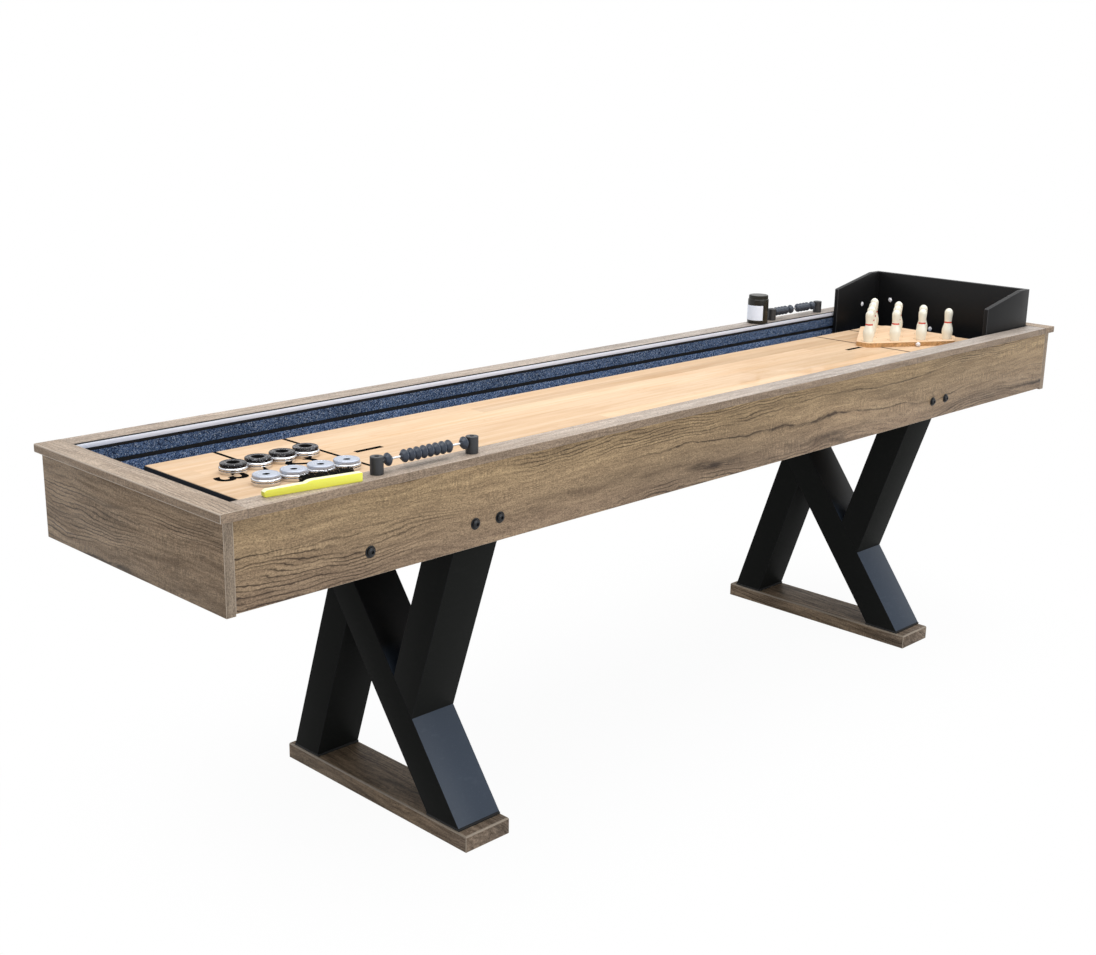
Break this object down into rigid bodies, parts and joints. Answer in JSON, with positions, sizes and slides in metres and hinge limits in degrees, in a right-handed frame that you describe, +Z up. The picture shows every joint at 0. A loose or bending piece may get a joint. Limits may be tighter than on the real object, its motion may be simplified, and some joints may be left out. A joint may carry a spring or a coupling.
{
  "type": "shuffleboard bowling table",
  "caption": "Long wood-finished shuffleboard table on black Z-shaped legs, with carpeted gutters, bead scorers, pucks, and a backstop with pins on a plate.",
  "frame": {"origin": "on the floor under the middle of the table, at the bottom centre of its box", "axes": "+X along the table towards the pins and backstop, +Y across it to the side with the wax jar, +Z up"},
  "size_m": [2.743, 0.61, 0.9025],
  "materials": {
    "driftwood_laminate": "wood-grain laminate, satin",
    "driftwood_rail": "wood-grain laminate, satin",
    "foot_laminate": "wood-grain laminate, satin",
    "pale_trim": "pale edge strip",
    "black_board": "painted black board",
    "carpet": "speckled loop carpet",
    "maple_playfield": "gloss lacquered maple",
    "plain_timber": "planed softwood",
    "black_legs": "satin black lacquer",
    "black_rubber": "matt black pads",
    "black_steel": "black oxide",
    "black_plastic": "satin black",
    "steel_rod": "polished",
    "bead_plastic": "dark blue-black",
    "backstop_board": "satin black lacquer",
    "white_plastic": "white",
    "plate_wood": "lacquered birch",
    "pin_plastic": "cream with a red neck band",
    "puck_metal": "chromed steel under a plastic cap",
    "yellow_plastic": "yellow",
    "bristle": "black bristle",
    "jar_plastic": "dark, with a blank white label",
    "lid_plastic": "black"
  },
  "bodies": {
    "table": {"near_apron": "driftwood_laminate", "far_apron": "driftwood_laminate", "left_end_panel": "driftwood_laminate", "right_end_panel": "driftwood_laminate", "near_rail": "driftwood_rail", "far_rail": "driftwood_rail", "left_rail": "driftwood_rail", "right_rail": "driftwood_rail", "rail_edge_trims": "pale_trim", "wall_boards": "black_board", "wall_carpets": "carpet", "floor_board": "black_board", "gutter_carpet": "carpet", "playfield": "maple_playfield", "playfield_end_caps": "black_board", "playfield_bearers": "plain_timber", "corner_blocks": "plain_timber", "cross_stretchers": "plain_timber", "foot_boards": "foot_laminate", "leg_braces": "black_legs", "leg_posts": "black_legs", "leg_arms": "black_legs", "leg_pads": "black_rubber", "leg_crossbars": "black_legs", "apron_bolts": "black_steel", "apron_washers": "black_steel", "scorer_posts": "black_plastic", "scorer_hardware": "steel_rod"},
    "puck_1": {"puck_1": "puck_metal"},
    "puck_2": {"puck_2": "puck_metal"},
    "puck_3": {"puck_3": "puck_metal"},
    "puck_4": {"puck_4": "puck_metal"},
    "puck_5": {"puck_5": "puck_metal"},
    "puck_6": {"puck_6": "puck_metal"},
    "puck_7": {"puck_7": "puck_metal"},
    "puck_8": {"puck_8": "puck_metal"},
    "plate": {"pin_plate": "plate_wood", "plate_knob": "white_plastic"},
    "pin_1": {"pin_1": "pin_plastic"},
    "pin_2": {"pin_2": "pin_plastic"},
    "pin_3": {"pin_3": "pin_plastic"},
    "pin_4": {"pin_4": "pin_plastic"},
    "pin_5": {"pin_5": "pin_plastic"},
    "pin_6": {"pin_6": "pin_plastic"},
    "pin_7": {"pin_7": "pin_plastic"},
    "pin_8": {"pin_8": "pin_plastic"},
    "pin_9": {"pin_9": "pin_plastic"},
    "pin_10": {"pin_10": "pin_plastic"},
    "backstop": {"backstop_panel": "backstop_board", "backstop_wings": "backstop_board", "backstop_caps": "white_plastic"},
    "near_bead_left": {"near_bead_left": "bead_plastic"},
    "near_bead_stack": {"near_bead_stack": "bead_plastic"},
    "near_bead_right": {"near_bead_right": "bead_plastic"},
    "far_beads_left": {"far_beads_left": "bead_plastic"},
    "far_beads_right": {"far_beads_right": "bead_plastic"},
    "brush": {"brush_handle": "yellow_plastic", "brush_bristles": "bristle"},
    "jar": {"wax_jar": "jar_plastic"},
    "jar_lid": {"wax_jar_lid": "lid_plastic"}
  },
  "joints": [
    {"name": "puck_1_slide", "type": "slide", "parent": "table", "child": "puck_1", "axis": [0, 1, 0], "range_m": [0, 0.108]},
    {"name": "puck_2_slide", "type": "slide", "parent": "table", "child": "puck_2", "axis": [0, 1, 0], "range_m": [0, 0.108]},
    {"name": "puck_3_slide", "type": "slide", "parent": "table", "child": "puck_3", "axis": [0, 1, 0], "range_m": [0, 0.108]},
    {"name": "puck_4_slide", "type": "slide", "parent": "table", "child": "puck_4", "axis": [1, 0, 0], "range_m": [0, 1.75]},
    {"name": "puck_5_slide", "type": "slide", "parent": "table", "child": "puck_5", "axis": [0, -1, 0], "range_m": [0, 0.066]},
    {"name": "puck_6_slide", "type": "slide", "parent": "table", "child": "puck_6", "axis": [0, -1, 0], "range_m": [0, 0.066]},
    {"name": "puck_7_slide", "type": "slide", "parent": "table", "child": "puck_7", "axis": [0, -1, 0], "range_m": [0, 0.066]},
    {"name": "puck_8_slide", "type": "slide", "parent": "table", "child": "puck_8", "axis": [1, 0, 0], "range_m": [0, 1.75]},
    {"name": "plate_lift", "type": "slide", "parent": "table", "child": "plate", "axis": [0, 0, 1], "range_m": [0, 0.15]},
    {"name": "pin_1_lift", "type": "slide", "parent": "plate", "child": "pin_1", "axis": [0, 0, 1], "range_m": [0, 0.12]},
    {"name": "pin_2_lift", "type": "slide", "parent": "plate", "child": "pin_2", "axis": [0, 0, 1], "range_m": [0, 0.12]},
    {"name": "pin_3_lift", "type": "slide", "parent": "plate", "child": "pin_3", "axis": [0, 0, 1], "range_m": [0, 0.12]},
    {"name": "pin_4_lift", "type": "slide", "parent": "plate", "child": "pin_4", "axis": [0, 0, 1], "range_m": [0, 0.12]},
    {"name": "pin_5_lift", "type": "slide", "parent": "plate", "child": "pin_5", "axis": [0, 0, 1], "range_m": [0, 0.12]},
    {"name": "pin_6_lift", "type": "slide", "parent": "plate", "child": "pin_6", "axis": [0, 0, 1], "range_m": [0, 0.12]},
    {"name": "pin_7_lift", "type": "slide", "parent": "plate", "child": "pin_7", "axis": [0, 0, 1], "range_m": [0, 0.12]},
    {"name": "pin_8_lift", "type": "slide", "parent": "plate", "child": "pin_8", "axis": [0, 0, 1], "range_m": [0, 0.12]},
    {"name": "pin_9_lift", "type": "slide", "parent": "plate", "child": "pin_9", "axis": [0, 0, 1], "range_m": [0, 0.12]},
    {"name": "pin_10_lift", "type": "slide", "parent": "plate", "child": "pin_10", "axis": [0, 0, 1], "range_m": [0, 0.12]},
    {"name": "backstop_lift", "type": "slide", "parent": "table", "child": "backstop", "axis": [0, 0, 1], "range_m": [0, 0.25]},
    {"name": "near_bead_left_slide", "type": "slide", "parent": "table", "child": "near_bead_left", "axis": [1, 0, 0], "range_m": [-0.0045, 0.011]},
    {"name": "near_bead_stack_slide", "type": "slide", "parent": "table", "child": "near_bead_stack", "axis": [1, 0, 0], "range_m": [-0.011, 0.011]},
    {"name": "near_bead_right_slide", "type": "slide", "parent": "table", "child": "near_bead_right", "axis": [1, 0, 0], "range_m": [-0.011, 0]},
    {"name": "far_beads_left_slide", "type": "slide", "parent": "table", "child": "far_beads_left", "axis": [1, 0, 0], "range_m": [0, 0.009]},
    {"name": "far_beads_right_slide", "type": "slide", "parent": "table", "child": "far_beads_right", "axis": [1, 0, 0], "range_m": [-0.009, 0.009]},
    {"name": "brush_lift", "type": "slide", "parent": "table", "child": "brush", "axis": [0, 0, 1], "range_m": [0, 0.15]},
    {"name": "jar_lift", "type": "slide", "parent": "table", "child": "jar", "axis": [0, 0, 1], "range_m": [0, 0.15]},
    {"name": "jar_lid_lift", "type": "slide", "parent": "jar", "child": "jar_lid", "axis": [0, 0, 1], "range_m": [0, 0.08]}
  ]
}
